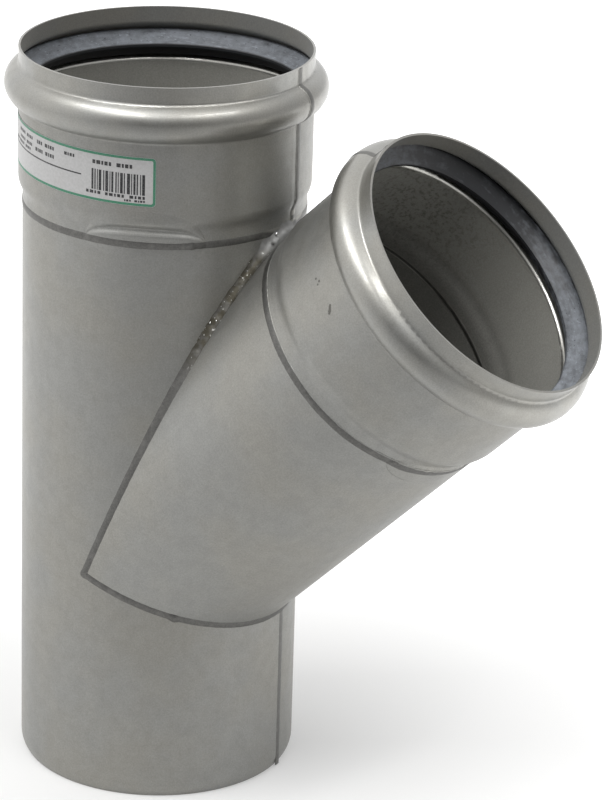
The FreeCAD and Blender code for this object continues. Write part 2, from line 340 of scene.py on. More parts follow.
# Small dark marks: angle, radius, place along the leg, and size in mm
MARKS = {
    "run": [
        (-86.4, 0.0645, 0.2111, 2.2),
        (-78.0, 0.0645, 0.2085, 1.6),
        (141.8, SOCKET_BORE_R, 0.2120, 3.2),
    ],
    "branch": [
        (-109.8, SOCKET_R, 0.1906, 1.3),
        (-109.3, SOCKET_R, 0.1901, 1.5),
        (-108.7, SOCKET_R, 0.1896, 1.5),
        (-108.2, SOCKET_R, 0.1891, 1.6),
        (-107.6, SOCKET_R, 0.1885, 1.3),
        (-122.8, SOCKET_R, 0.1883, 1.1),
        (-121.0, SOCKET_R, 0.1897, 1.2),
        (-120.2, SOCKET_R, 0.1884, 1.0),
        (-84.0, SOCKET_R, 0.1646, 1.4),
    ],
}
MARK_SHARE = 0.8
SPECKS_AT = (132.0, SOCKET_BORE_R, 0.1860)
SPECKS_SIZE = 55.0 * MM
SPECKS_SHARE = 0.42


def stain_mask(leg, spot, inside):
    """Small dark marks, and on the branch a scatter of dark specks inside, near the seal."""
    total = 0.0
    blotch = noise_at(spot, 700.0, 3.0, 0.7)
    for angle, radius, along, size in MARKS[leg]:
        patch = patch_at(spot, in_leg(angle, radius, along), size * MM)
        torn = calc("MULTIPLY", patch, calc("ADD", blotch, 0.35))
        total = calc("MAXIMUM", total, between(torn, 0.30, 0.55, 0.0, MARK_SHARE))
    if leg == "branch":
        specks = between(noise_at(spot, 560.0, 3.0, 0.6), 0.46, 0.68)
        zone = patch_at(spot, in_leg(*SPECKS_AT), SPECKS_SIZE)
        dotted = calc("MULTIPLY", calc("MULTIPLY", specks, zone), inside)
        total = calc("MAXIMUM", total, calc("MULTIPLY", dotted, SPECKS_SHARE))
    return total


# Weld metal; the paler colour inside the pipes is painted light
WELD_DARK = (0.128, 0.126, 0.121)
WELD_GREY = (0.168, 0.166, 0.158)
WELD_CLOUD = (0.23, 0.225, 0.215)
WELD_INSIDE_PAINTED_LIGHT = (0.34, 0.335, 0.31)
WELD_ROUGHNESS = 0.48
SEAM_PALER = 0.22


def band_colour(spot):
    """Smooth dark grey of the plain welds."""
    colour = two_tone(noise_at(spot, 1300.0, 4.0), 0.3, 0.7, WELD_DARK, WELD_GREY)
    cloud = between(noise_at(spot, 240.0, 3.0), 0.45, 0.75, 0.0, 0.5)
    return mix(cloud, colour, WELD_CLOUD)


def weld_material(name, paler):
    """Plain weld metal; inside the pipes it is pale like the sheet, painted light as there, but for a thin
    dark line at the root.
    """
    material, tree, shader = new_material(name)
    colour = mix(paler, band_colour(row_place(tree)), STEEL_COOL)
    for leg in LEGS:
        spot = place_of(tree, leg)
        gap = calc("ABSOLUTE", calc("SUBTRACT", height_of(spot), RING_WELD_AT))
        off_root = between(gap, 0.45 * MM, 0.75 * MM)
        on_weld = between(gap, 3.0 * MM, 2.0 * MM)
        # Pale inside the pipes off the root line: painted light, as on the sheet inside
        pale = calc("MULTIPLY", calc("MULTIPLY", off_root, on_weld), faces_axis(tree, leg, spot))
        colour = mix(pale, colour, WELD_INSIDE_PAINTED_LIGHT)
    feed(shader, {"Base Color": colour, "Metallic": 1.0, "Roughness": WELD_ROUGHNESS})
    return material


# Saddle weld: colours, heights over the crossing where they change, and its hole's place in the row frame,
# where shade is painted into the pit
SADDLE_BROWN = (0.098, 0.090, 0.070)
SADDLE_SILVER = (0.150, 0.146, 0.134)
SADDLE_SPECK = (0.80, 0.79, 0.76)
SADDLE_TOP = (0.30, 0.30, 0.295)
SILVER_FROM, SILVER_TO = 0.095, 0.116
TOP_FROM, TOP_TO = 0.146, 0.153
PIT_AT = (0.0631, -0.0115, 0.2566)
PIT_SIZE = 1.9 * MM
PIT_PAINTED_SHADE = (0.012, 0.012, 0.012)
SPATTER_SILVER = (0.80, 0.80, 0.79)


def saddle_material():
    """Weld metal of the saddle: dark below, silvery with brown tints and bright specks in the crotch, and
    painted shade in one pit.
    """
    material, tree, shader = new_material("saddle_weld_metal")
    spot = row_place(tree)
    height = height_of(spot)
    silver = two_tone(noise_at(spot, 210.0, 3.0, 0.6), 0.40, 0.62, SADDLE_BROWN, SADDLE_SILVER)
    specks = between(noise_at(spot, 900.0, 2.0), 0.67, 0.71)
    silver = mix(specks, silver, SADDLE_SPECK)
    silver = two_tone(height, CROSSING.z + TOP_FROM, CROSSING.z + TOP_TO, silver, SADDLE_TOP)
    # Painted shade in the pit
    silver = mix(patch_at(spot, PIT_AT, PIT_SIZE), silver, PIT_PAINTED_SHADE)
    upper = between(height, CROSSING.z + SILVER_FROM, CROSSING.z + SILVER_TO)
    colour = mix(upper, band_colour(spot), silver)
    dull = calc("MULTIPLY_ADD", specks, -0.3, between(upper, 0.0, 1.0, 0.50, 0.62))
    feed(shader, {"Base Color": colour, "Metallic": 1.0, "Roughness": dull})
    return material


def spatter_material():
    """Bright drops of weld metal."""
    material, _, shader = new_material("weld_spatter")
    feed(shader, {"Base Color": (*SPATTER_SILVER, 1.0), "Metallic": 1.0, "Roughness": 0.2})
    return material


# Rubber
RUBBER_BLACK = (0.022, 0.023, 0.026)
RUBBER_DIRT = (0.012, 0.012, 0.013)
RUBBER_SCRATCH = (0.42, 0.45, 0.50)
# Less talc round one angle, so the seal is darker there; and the inner end, bare black rubber that is also
# painted shade under the lip
LESS_TALC_ALONG = 0.2150
LESS_TALC_SIZE = 95.0 * MM
LESS_TALC_SHARE = -0.34
SEAL_END_FROM = 15.9 * MM
SEAL_END_TO = 16.5 * MM

# Talc on each seal: the angle where there is less of it, how bare the inner end is, and its colour. The bare
# inner end is black rubber and also painted shade under the lip
TALC = {"run": (None, 0.6, (0.25, 0.271, 0.30)), "branch": (125.0, 0.12, (0.32, 0.345, 0.38))}


def rubber_material(leg):
    """Black rubber dulled by talc, finely scratched; less talc round one angle, so darker there, and bare at
    its inner end, which is clean rubber and also painted shade under the lip.
    """
    material, tree, shader = new_material(leg + "_dusty_rubber")
    less_talc_at, bare_and_shaded_end, talc_colour = TALC[leg]
    spot = place_of(tree, leg)
    dust = noise_at(spot, 240.0, 5.0, 0.6)
    smear = noise_at(stretched(spot, (1.0, 1.0, 6.0)), 110.0, 4.0, 0.7)
    talc = calc("MULTIPLY_ADD", smear, 0.5, calc("MULTIPLY", dust, 0.5))
    if less_talc_at is not None:
        less_talc = patch_at(spot, in_leg(less_talc_at, SOCKET_BORE_R, LESS_TALC_ALONG), LESS_TALC_SIZE)
        talc = calc("MULTIPLY_ADD", less_talc, LESS_TALC_SHARE, talc)
    # Bare black inner end: clean rubber, and painted shade under the lip
    ends = (MOUTH_REACH - SEAL_END_FROM, MOUTH_REACH - SEAL_END_TO)
    talc = calc("SUBTRACT", talc, between(height_of(spot), *ends, 0.0, bare_and_shaded_end))
    dusty = between(talc, 0.22, 0.78, smooth=False)
    colour = mix(dusty, RUBBER_BLACK, talc_colour)
    dirt = between(noise_at(spot, 900.0, 2.0), 0.66, 0.72, 0.0, 0.8)
    colour = mix(dirt, colour, RUBBER_DIRT)
    scratch = noise_at(stretched(spot, (0.25, 1.0, 3.0)), 700.0, 1.0)
    scratch = between(scratch, 0.64, 0.72, 0.0, 0.30)
    marked = calc("MULTIPLY", scratch, between(talc, 0.25, 0.5))
    colour = mix(marked, colour, RUBBER_SCRATCH)
    feed(shader, {"Base Color": colour, "Roughness": between(talc, 0.3, 0.7, 0.42, 0.75)})
    return material


# Label
LABEL_PAPER = (0.52, 0.52, 0.515)
LABEL_PALE = (0.585, 0.58, 0.58)
LABEL_SOILED = (0.44, 0.42, 0.40)
BLACK_INK = (0.02, 0.02, 0.022)
GREEN_INK = (0.055, 0.235, 0.14)


def label_material():
    """Printed film: pale grey paper with a little fibre."""
    material, tree, shader = new_material("label_film")
    spot = row_place(tree)
    colour = two_tone(noise_at(spot, 900.0, 3.0), 0.3, 0.7, LABEL_PAPER, LABEL_PALE)
    soiled = between(noise_at(spot, 60.0, 4.0), 0.55, 0.75, 0.0, 0.3)
    colour = mix(soiled, colour, LABEL_SOILED)
    feed(shader, {"Base Color": colour, "Roughness": 0.4})
    return material


def ink_material(name, colour):
    """Printing ink, worn thin in places."""
    material, tree, shader = new_material(name)
    wear = noise_at(row_place(tree), 1800.0, 3.0)
    pale = tuple(0.75 * part + 0.10 for part in colour)
    feed(shader, {"Base Color": two_tone(wear, 0.45, 0.75, colour, pale), "Roughness": 0.45})
    return material


def give(node_name, material):
    """Puts a material on a CAD node."""
    piece = frame["nodes"][node_name]
    piece.data.materials.clear()
    piece.data.materials.append(material)


# Studio: how bright the surroundings are in each direction from the object, as the camera faces it
FLOOR_SIZE = 12.0
FLOOR_COLOUR = (0.60, 0.60, 0.595)
FLOOR_NEAR = 0.33
# Darker paint on the floor in front of the object: painted shade, for less light there
FLOOR_FRONT_PAINTED_SHADE = (0.42, 0.42, 0.42)
FLOOR_FRONT_FROM, FLOOR_FRONT_TO = 0.2, 0.45
FLOOR_GLOW = {"near": 0.31, "front": 0.07, "back": 1.0, "left": 0.55, "right": 1.1}
WORLD_LIGHT = {"top": 1.2, "front": 0.12, "back": 1.15, "left": 1.25, "right": 0.55}
DIFFUSE_SHARE = 0.68
SIDES = {
    "front": around(CAMERA_AZIMUTH, 0.0),
    "back": -around(CAMERA_AZIMUTH, 0.0),
    "right": around(CAMERA_AZIMUTH + 90.0, 0.0),
    "left": -around(CAMERA_AZIMUTH + 90.0, 0.0),
    "top": Vector((0.0, 0.0, 1.0)),
}

# Lamps: azimuth, width and power
LAMPS = {"left_lamp": (-25.0, 1.3, 17.0), "right_lamp": (75.0, 0.9, 7.0)}
LAMP_ELEVATION = 60.0
LAMP_DISTANCE = 1.8
LAMP_HEIGHT = 0.12


def sees_background(tree):
    """1 for the rays that show the background: from the camera, in gloss and through glass."""
    path = source(tree, "LightPath").outputs
    seen = calc("MAXIMUM", path["Is Camera Ray"], path["Is Glossy Ray"])
    return calc("MAXIMUM", seen, path["Is Transmission Ray"])


def by_direction(way, levels):
    """Level that blends softly from side to side with the unit vector way."""
    total = 0.0
    for side in SIDES:
        if side in levels:
            along = vector_calc("DOT_PRODUCT", way, SIDES[side])
            share = calc("POWER", calc("MAXIMUM", along, 0.0), 2.0)
            total = calc("MULTIPLY_ADD", share, levels[side], total)
    return total


def make_world():
    """Surroundings that are white behind the object and grey on the photographer's side."""
    world = bpy.data.worlds.new("studio")
    bpy.context.scene.world = world
    tree, out = bare_tree(world, "OutputWorld")
    level = by_direction(source(tree, "TexCoord").outputs["Generated"], WORLD_LIGHT)
    seen = between(sees_background(tree), 0.0, 1.0, DIFFUSE_SHARE, 1.0, smooth=False)
    level = calc("MULTIPLY", level, seen)
    level = calc("MAXIMUM", level, source(tree, "LightPath").outputs["Is Camera Ray"])
    background = add("Background", {"Color": (1.0, 1.0, 1.0, 1.0), "Strength": level})
    feed(out, {"Surface": background.outputs[0]})


def floor_material():
    """Paint that darkens in front of the object, painted shade for less light on the front of the floor,
    with a glow that shows the floor white behind it.
    """
    material = bpy.data.materials.new("floor")
    tree, out = bare_tree(material, "OutputMaterial")
    spot = row_place(tree)
    away = vector_calc("LENGTH", spot)
    way = vector_calc("NORMALIZE", spot)
    forward = between(vector_calc("DOT_PRODUCT", way, SIDES["front"]), 0.0, 0.8)
    # Painted shade on the front of the floor
    dark = calc("MULTIPLY", forward, between(away, FLOOR_FRONT_FROM, FLOOR_FRONT_TO))
    paint = add("BsdfDiffuse", {"Color": mix(dark, FLOOR_COLOUR, FLOOR_FRONT_PAINTED_SHADE)})
    reach = calc("POWER", calc("DIVIDE", away, FLOOR_NEAR), 2.0)
    closeness = calc("EXPONENT", calc("MULTIPLY", reach, -1.0))
    far_glow = by_direction(way, FLOOR_GLOW)
    glow = between(closeness, 0.0, 1.0, far_glow, FLOOR_GLOW["near"], smooth=False)
    light = add("Emission", {"Strength": calc("MULTIPLY", sees_background(tree), glow)})
    both = add("AddShader", {0: paint.outputs[0], 1: light.outputs[0]})
    feed(out, {"Surface": both.outputs[0]})
    return material


def make_floor():
    """Pale floor that keeps the object's shadow."""
    half = FLOOR_SIZE / 2
    corners = [(-half, -half, 0), (half, -half, 0), (half, half, 0), (-half, half, 0)]
    mesh = bpy.data.meshes.new("floor")
    mesh.from_pydata(corners, [], [(0, 1, 2, 3)])
    floor = bpy.data.objects.new("floor", mesh)
    bpy.context.scene.collection.objects.link(floor)
    mesh.materials.append(floor_material())


def make_lamp(name, azimuth, width, power):
    """Long soft lamp that looks at the middle of the object."""
    data = bpy.data.lights.new(name, "AREA")
    data.shape = "RECTANGLE"
    data.size = width
    data.size_y = LAMP_HEIGHT
    data.energy = power
    lamp = bpy.data.objects.new(name, data)
    way = around(azimuth, LAMP_ELEVATION)
    lamp.location = CAMERA_TARGET + way * LAMP_DISTANCE
    lamp.rotation_mode = "QUATERNION"
    lamp.rotation_quaternion = (-way).to_track_quat("-Z", "Y")
    bpy.context.scene.collection.objects.link(lamp)


def make_studio():
    """World, floor and lamps."""
    bpy.context.scene.view_settings.view_transform = "Standard"
    make_world()
    make_floor()
    for name, (azimuth, width, power) in LAMPS.items():
        make_lamp(name, azimuth, width, power)


# Geometry helpers
def on_leg(leg, angle, radius, along):
    """Row-frame points from angles in degrees, radii and places along a leg."""
    angle, radius, along = np.broadcast_arrays(angle, radius, along)
    turn = np.radians(angle)
    spots = np.stack([radius * np.cos(turn), radius * np.sin(turn), along, np.ones(turn.shape)], axis=-1)
    return (spots @ np.array(LEGS[leg]).T)[..., :3]


def rough(spots, scale, seed=0.0):
    """Smooth noise from -1 to 1 at each point, with features about scale metres across."""
    flat = np.asarray(spots).reshape(-1, 3) / scale + seed
    values = [noise.noise(Vector(spot)) for spot in flat]
    return np.array(values).reshape(np.asarray(spots).shape[:-1])


def ease(value, low, high):
    """0 below low, 1 above high, smooth between; works for low above high too."""
    share = np.clip((value - low) / (high - low), 0.0, 1.0)
    return share * share * (3.0 - 2.0 * share)


def quads(rows, columns, loop_rows=False, loop_columns=False):
    """Faces of a grid of points, closed round on itself where asked."""
    here = np.arange(rows * columns).reshape(rows, columns)
    below = np.roll(here, -1, axis=0)
    corners = np.stack([here, below, np.roll(below, -1, axis=1), np.roll(here, -1, axis=1)], axis=-1)
    last_row = rows if loop_rows else rows - 1
    last_column = columns if loop_columns else columns - 1
    return corners[:last_row, :last_column].reshape(-1, 4).tolist()


def make_piece(name, parts, material, replaced=(), crease=40.0):
    """One object from a list of (points, faces), riding on the body."""
    spots, faces = [], []
    for part_spots, part_faces in parts:
        faces += [[index + len(spots) for index in face] for face in part_faces]
        spots += [tuple(spot) for spot in np.asarray(part_spots).reshape(-1, 3)]
    mesh = bpy.data.meshes.new(name)
    mesh.from_pydata(spots, [], faces)
    work = bmesh.new()
    work.from_mesh(mesh)
    bmesh.ops.recalc_face_normals(work, faces=work.faces)
    work.to_mesh(mesh)
    work.free()
    mesh.polygons.foreach_set("use_smooth", [True] * len(mesh.polygons))
    mesh.set_sharp_from_angle(angle=math.radians(crease))
    mesh.materials.append(material)
    piece = bpy.data.objects.new(name, mesh)
    bpy.context.scene.collection.objects.link(piece)
    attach(piece, "root")
    for node in replaced:
        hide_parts(node)


def slab(top, bottom):
    """Closed thin body between two grids of points of the same size."""
    rows, columns = top.shape[:2]
    upper = quads(rows, columns)
    count = rows * columns
    faces = upper + [[index + count for index in reversed(face)] for face in upper]
    index = np.arange(count).reshape(rows, columns)
    edge = np.concatenate([index[0, :-1], index[:-1, -1], index[-1, :0:-1], index[:0:-1, 0]]).tolist()
    for here, there in zip(edge, edge[1:] + edge[:1]):
        faces.append([there, here, here + count, there + count])
    return np.concatenate([top.reshape(-1, 3), bottom.reshape(-1, 3)]), faces


def strip(sections):
    """Closed bar swept through a row of closed sections, with flat ends."""
    rows, columns = sections.shape[:2]
    last = (rows - 1) * columns
    ends = [list(range(columns)), [last + index for index in range(columns)]]
    return sections, quads(rows, columns, loop_columns=True) + ends


def hoop(sections):
    """Closed bar swept round a ring of closed sections."""
    return sections, quads(*sections.shape[:2], loop_rows=True, loop_columns=True)


def smoothed(values, reach, ends):
    """Values averaged with their neighbours within reach; ends says how the row goes on past its ends."""
    window = np.hanning(2 * reach + 1)
    return np.convolve(np.pad(values, reach, mode=ends), window / window.sum(), mode="valid")


# How far the middle of each ring weld strays along its leg, in mm at angles
RING_STRAY = {
    "run": [
        (-180.0, 0.0), (-110.0, 0.0), (-78.0, -0.1), (-55.0, -0.4), (0.0, -0.4), (60.0, 0.0), (180.0, 0.0),
    ],
    "branch": [
        (-180.0, -2.8), (-148.0, -2.8), (-136.0, -2.2), (-100.0, -2.2), (-80.0, -1.85), (-65.0, -1.3),
        (-52.0, -0.1), (-35.0, 0.5), (-22.0, 1.3), (-10.0, 2.6), (0.0, 3.6), (12.0, 2.6), (35.0, 0.0),
        (90.0, -1.6), (180.0, -2.8),
    ],
}

# Swellings where the ring welds overlap: middle and half width in degrees, and how blunt their tips are
SWELLS = {
    "run": {"middle": -66.0, "half": 24.5, "square": 2.4, "blunt": 1.0},
    "branch": {"middle": -26.0, "half": 21.0, "square": 2.2, "blunt": 1.25},
}

# Profile of each swelling in mm: the place along from the weld's middle, and the rise over the sheet there
ROLLS = {
    "run": [
        (-9.5, -0.15), (-7.5, -0.05), (-6.0, 0.06), (-4.0, 0.30), (-2.0, 0.62), (0.0, 0.95), (2.0, 1.30),
        (3.4, 1.50), (4.3, 1.48), (5.2, 1.10), (6.2, 0.45), (6.9, 0.12), (7.5, 0.08), (8.2, 0.35),
        (9.0, 0.70), (9.8, 0.82), (10.8, 0.70), (12.0, 0.45), (13.4, 0.22), (15.0, 0.03), (16.2, -0.08),
        (20.0, -0.12),
    ],
    "branch": [
        (-9.6, -0.15), (-8.7, -0.05), (-8.4, 0.30), (-7.9, 0.50), (-6.8, 0.56), (-4.0, 0.66), (-2.0, 0.76),
        (0.0, 0.86), (1.7, 0.92), (2.4, 0.78), (3.0, 0.42), (3.6, 0.08), (4.2, -0.12), (20.0, -0.12),
    ],
}
SWELL_FROM, SWELL_FOLD, SWELL_TO = -10.0, 1.0, 17.0
SWELL_UNDER = 0.04 * MM
SWELL_SHEET = 0.4 * MM


def stray(leg, angle):
    """How far the ring weld's middle lies from the joint at angles, in metres."""
    turns, shifts = np.array(RING_STRAY[leg]).T
    fine = np.arange(-180.0, 180.0, 0.5)
    smooth = smoothed(np.interp(fine, turns, shifts), 13, "wrap")
    return np.interp(angle, fine, smooth, period=360.0) * MM


def read_profile(profile, place):
    """Height in metres at places in metres along a profile, its corners rounded."""
    places, heights = np.array(profile).T
    fine = np.arange(places[0], places[-1], 0.05)
    smooth = smoothed(np.interp(fine, places, heights), 8, "edge")
    return np.interp(place / MM, fine, smooth) * MM


def swell_share(leg, angle):
    """1 in the middle of a swelling, 0 at its two tips."""
    sizes = SWELLS[leg]
    across = np.clip(np.abs((angle - sizes["middle"]) / sizes["half"]), 0.0, 1.0)
    return np.sqrt(1.0 - across ** sizes["square"])


def swell_radius(leg, angle, along, base):
    """Radius of a swelling's outside over the sheet's own radius; it lies just under the sheet elsewhere."""
    share = swell_share(leg, angle)
    full = np.minimum(1.0, SWELLS[leg]["blunt"] * share)
    place = (along - RING_WELD_AT - stray(leg, angle)) / np.maximum(share, 0.02)
    return base + full * read_profile(ROLLS[leg], place) - SWELL_UNDER * (1.0 - full)


def swell_rise(leg, angle, along):
    """How far a swelling lifts the ring weld."""
    return np.maximum(0.0, swell_radius(leg, angle, along, TUBE_R) - TUBE_R)


def make_swell(leg, material):
    """Thin raised shell over tube, weld, neck and shoulder, which sinks into the sheet all round."""
    sizes = SWELLS[leg]
    angles = sizes["middle"] + sizes["half"] * 1.02 * np.sin(np.linspace(-math.pi / 2, math.pi / 2, 141))
    coarse, fine = np.linspace(SWELL_FROM, SWELL_FOLD, 56), np.linspace(SWELL_FOLD + 0.15, SWELL_TO, 100)
    angle, along = np.meshgrid(angles, RING_WELD_AT + np.concatenate([coarse, fine]) * MM, indexing="ij")
    base = skin(leg)(angle, along)
    radius = np.maximum(swell_radius(leg, angle, along, base), base - 0.3 * MM)
    top = on_leg(leg, angle, radius, along)
    bottom = on_leg(leg, angle, np.minimum(radius, base) - SWELL_SHEET, along)
    make_piece(leg + "_weld_swelling", [slab(top, bottom)], material, crease=60.0)


def skin(leg):
    """Function that gives the outer radius of a leg's tube and socket at angles and places along it."""
    trees = []
    for node in (leg + "_tube", leg + "_socket"):
        piece = frame["nodes"][node]
        spots = [LEGS[leg].inverted() @ (piece.matrix_world @ vertex.co) for vertex in piece.data.vertices]
        trees.append(BVHTree.FromPolygons(spots, [tuple(face.vertices) for face in piece.data.polygons]))

    def radius(angle, along):
        angle, along = np.broadcast_arrays(angle, along)
        found = np.empty(angle.shape)
        for place in np.ndindex(angle.shape):
            turn = math.radians(angle[place])
            way = Vector((math.cos(turn), math.sin(turn), 0.0))
            start = way * (SOCKET_R * 1.2) + Vector((0.0, 0.0, along[place]))
            best = TUBE_R
            for tree in trees:
                spot = tree.ray_cast(start, -way, SOCKET_R * 0.3)[0]
                if spot is not None:
                    best = max(best, math.hypot(spot.x, spot.y))
            found[place] = best
        return found

    return radius


# Ring welds. Each starts and stops at one angle, where it has a lump
RING_STEPS = 1100
RING_HALF = 1.75 * MM
RING_CROWN = 0.22 * MM
RING_WANDER = 0.12 * MM
RING_SUNK = 0.06 * MM
RING_STOPS = {"run": -47.0, "branch": 60.0}
LUMP_ANGLE = 0.9
LUMP_RISE = 0.22 * MM
LUMP_WIDER = 0.18 * MM
START_NARROWER = 0.10 * MM
ROOT_HALF = 1.35 * MM
ROOT_CROWN = 0.3 * MM
JOINT_HALF = 1.0 * MM
EDGE_SIZE = 0.20 * MM


def ring_places(leg):
    """Angles once round a leg, and the points there on the tube in the middle of the joint."""
    angles = np.linspace(-180.0, 180.0, RING_STEPS, endpoint=False)
    return angles, on_leg(leg, angles, TUBE_R, RING_WELD_AT)


def make_ring_weld(leg, material):
    """Butt weld round a leg, a little uneven in width and height."""
    angles, middle = ring_places(leg)
    width = RING_HALF * (1.0 + 0.08 * rough(middle, 9 * MM) + 0.04 * rough(middle, 2.2 * MM, 7.0))
    crown = RING_CROWN * (1.0 + 0.35 * rough(middle, 6 * MM, 3.0) + 0.25 * rough(middle, 1.3 * MM, 5.0))
    wander = RING_WANDER * rough(middle, 14 * MM, 9.0) + stray(leg, angles)
    past_stop = (angles - RING_STOPS[leg] + 180.0) % 360.0 - 180.0
    lump = np.exp(-((past_stop / LUMP_ANGLE) ** 2))
    crown = crown + LUMP_RISE * lump
    width = width + LUMP_WIDER * lump
    width = width - START_NARROWER * ease(past_stop, 0.0, 1.0) * ease(past_stop, 60.0, 40.0)
    across = np.linspace(-1.0, 1.0, 11)
    along = RING_WELD_AT + wander[:, None] + width[:, None] * across
    rise = crown[:, None] * (1.0 - across**2) - RING_SUNK * across**8
    outer = on_leg(leg, angles[:, None], TUBE_R + swell_rise(leg, angles[:, None], along) + rise, along)
    across = np.linspace(1.0, -1.0, 6)
    uneven = (1.0 + 0.3 * rough(middle, 4 * MM, 11.0))[:, None]
    root = TUBE_R - WALL + RING_SUNK - ROOT_CROWN * (1.0 - across**2) * uneven
    inner = on_leg(leg, angles[:, None], root, RING_WELD_AT + ROOT_HALF * across)
    weld = hoop(np.concatenate([outer, inner], axis=1))
    make_piece(leg + "_ring_weld_bead", [weld], material, [leg + "_ring_weld"])


def make_weld_edge(leg, material):
    """Fine bright edge of the socket's sheet along the ring weld."""
    angles, middle = ring_places(leg)
    uneven = 1.0 + 0.8 * rough(middle, 1.8 * MM, 21.0) + 0.6 * rough(middle, 12 * MM, 22.0)
    size = EDGE_SIZE * uneven.clip(0.2, 2.0)
    size = size * (1.0 + 0.8 * np.exp(-(((angles - SWELLS[leg]["middle"]) / 30.0) ** 2)))
    turn = np.linspace(0.0, 2 * math.pi, 8, endpoint=False)
    along = RING_WELD_AT + stray(leg, angles)[:, None] + RING_HALF * 1.03 + size[:, None] * np.cos(turn)
    lift = swell_rise(leg, angles, along[:, 0])[:, None]
    radius = TUBE_R + lift - RING_SUNK + size[:, None] * np.sin(turn)
    edge = hoop(on_leg(leg, angles[:, None], radius, along))
    make_piece(leg + "_weld_edge", [edge], material, crease=180.0)


def make_joint_sheet(leg, material):
    """Sheet that closes the joint where the ring weld strays off it."""
    angles = np.linspace(-180.0, 180.0, 360, endpoint=False)[:, None]
    along = np.array([-1.6, -1.25, 1.25, 1.6, 1.25, -1.25]) * JOINT_HALF
    rise = np.array([-0.05, 0.012, 0.012, -0.05, -0.6, -0.6]) * MM
    sheet = hoop(on_leg(leg, angles, TUBE_R + rise, RING_WELD_AT + along))
    make_piece(leg + "_joint_sheet", [sheet], material)


# Saddle weld: laid out along the two planes where the tubes meet, which look like an L from the side
HALF_ANGLE = BRANCH_ANGLE / 2
UP = np.array([math.sin(HALF_ANGLE), math.cos(HALF_ANGLE)])
DOWN = np.array([math.cos(HALF_ANGLE), -math.sin(HALF_ANGLE)])
SADDLE_STEP = 0.42 * MM
SADDLE_GAP = 1.3 * MM
SADDLE_HALF = 1.62 * MM
SADDLE_PROUD = 0.32 * MM
SADDLE_SUNK = 0.05 * MM
CORNER_R = 2.2 * MM
CORNER_EXTRA = 1.35 * MM
CROTCH_EXTRA = 0.75 * MM
TOP_EXTRA = 0.9 * MM
ROUGH_FROM, ROUGH_TO = 0.098, 0.122
ROUGH_LOWER = 0.24 * MM

# A blob on the front's lower side, and two pits: Y in mm, share of the width, radius and depth in mm
BLOB_AT = 0.0418
BLOB_HALF = 1.6 * MM
BLOB_WIDER = 0.8 * MM
BLOB_RISE = 0.45 * MM
PITS = [(-9.5, 0.30, 0.9, 1.1), (-13.0, 0.50, 0.8, 0.9)]


def saddle_stations():
    """Stations once round the weld: reach up and down, turn of the line in the corner, side (-1 front)."""
    sweep = np.linspace(0.0, math.pi / 2, 4000)
    upper = TUBE_R * np.cos(sweep) / UP[0]
    upper = upper[upper > CORNER_R]
    lower = (TUBE_R * np.cos(sweep) / DOWN[0])[::-1]
    lower = lower[lower > CORNER_R]
    arc = np.linspace(0.0, math.pi / 2, 60)[1:-1]
    up_reach = np.concatenate([upper, CORNER_R * (1.0 - np.sin(arc)), 0 * lower])
    down_reach = np.concatenate([0 * upper, CORNER_R * (1.0 - np.cos(arc)), lower])
    turn = np.concatenate([0 * upper, arc, 0 * lower + math.pi / 2])
    across = up_reach * UP[0] + down_reach * DOWN[0]
    depth = np.sqrt(np.maximum(TUBE_R**2 - across**2, 0.0))
    path = np.stack([up_reach, down_reach, depth], axis=-1)
    walked = np.concatenate([[0.0], np.cumsum(np.linalg.norm(np.diff(path, axis=0), axis=1))])
    steps = np.linspace(0.0, walked[-1], int(walked[-1] / SADDLE_STEP))
    half = np.stack([np.interp(steps, walked, line) for line in (up_reach, down_reach, turn)], axis=-1)
    front = np.concatenate([half, np.full((len(half), 1), -1.0)], axis=-1)
    back = np.concatenate([half, np.full((len(half), 1), 1.0)], axis=-1)
    return np.concatenate([front, back[-2:0:-1]]).T


def on_saddle(stations, leg, width, radius):
    """Points and normals on a leg's cylinder, width away from the weld's middle line, + on the branch."""
    up_reach, down_reach, turn, side = stations
    up_reach, down_reach = up_reach * radius / TUBE_R, down_reach * radius / TUBE_R
    across = up_reach * UP[0] + down_reach * DOWN[0]
    square = np.abs(width) * ease(across / TUBE_R, 0.15, 0.6)
    up_spot = up_reach + width * np.sin(turn) + square / math.tan(HALF_ANGLE) * (turn == 0.0)
    down_spot = down_reach + width * np.cos(turn) + square * math.tan(HALF_ANGLE) * (turn > 1.57)
    x, z = up_spot * UP[0] + down_spot * DOWN[0], up_spot * UP[1] + down_spot * DOWN[1]
    along_x = x if leg == "run" else x * math.cos(BRANCH_ANGLE) - z * math.sin(BRANCH_ANGLE)
    y = side * np.sqrt(np.maximum(radius**2 - along_x**2, 0.0))
    normal = np.stack([along_x, y, 0 * y], axis=-1) / radius
    if leg == "branch":
        normal = normal @ np.array(LEGS["branch"].to_3x3()).T
    return np.stack([x, y, z], axis=-1), normal


def bowed(first, middle, last, share):
    """Curve from first to last, pulled towards middle."""
    share = share[None, :, None]
    first, middle, last = first[:, None], middle[:, None], last[:, None]
    return (1 - share) ** 2 * first + 2 * share * (1 - share) * middle + share**2 * last


